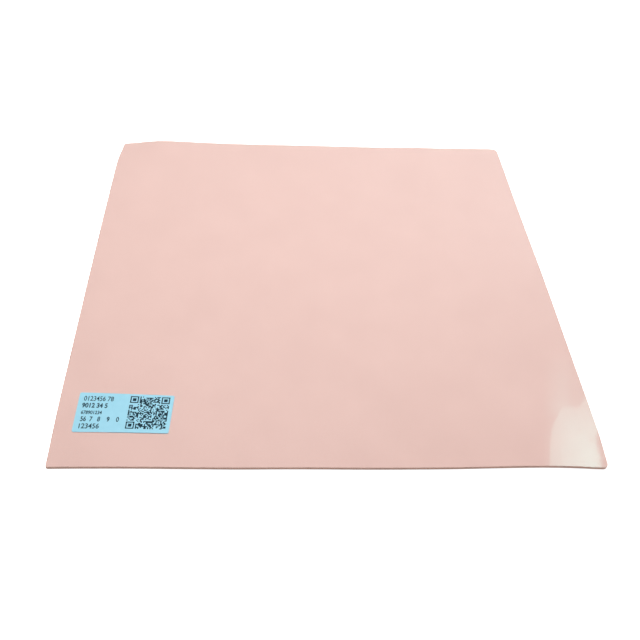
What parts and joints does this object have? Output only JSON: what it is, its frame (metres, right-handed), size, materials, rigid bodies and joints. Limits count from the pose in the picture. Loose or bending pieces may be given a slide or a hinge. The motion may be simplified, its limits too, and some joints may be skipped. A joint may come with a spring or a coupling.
{
  "type": "thermal pad sheet",
  "caption": "Square sheet of soft pink thermally conductive silicone, with a clear release film over its top face and a small pale blue printed label near one corner.",
  "frame": {"origin": "middle of the pad's underside", "axes": "+Z out of the sheet's top face, through its thickness; the edges run along X and Y; the label is near the corner at -X, -Y"},
  "size_m": [0.2286, 0.2286, 0.0014],
  "materials": {
    "pad": "matte",
    "film": "gloss",
    "label": "satin"
  },
  "bodies": {
    "root": {"pad_sheet": "pad", "release_film": "film", "label": "label"}
  },
  "joints": []
}
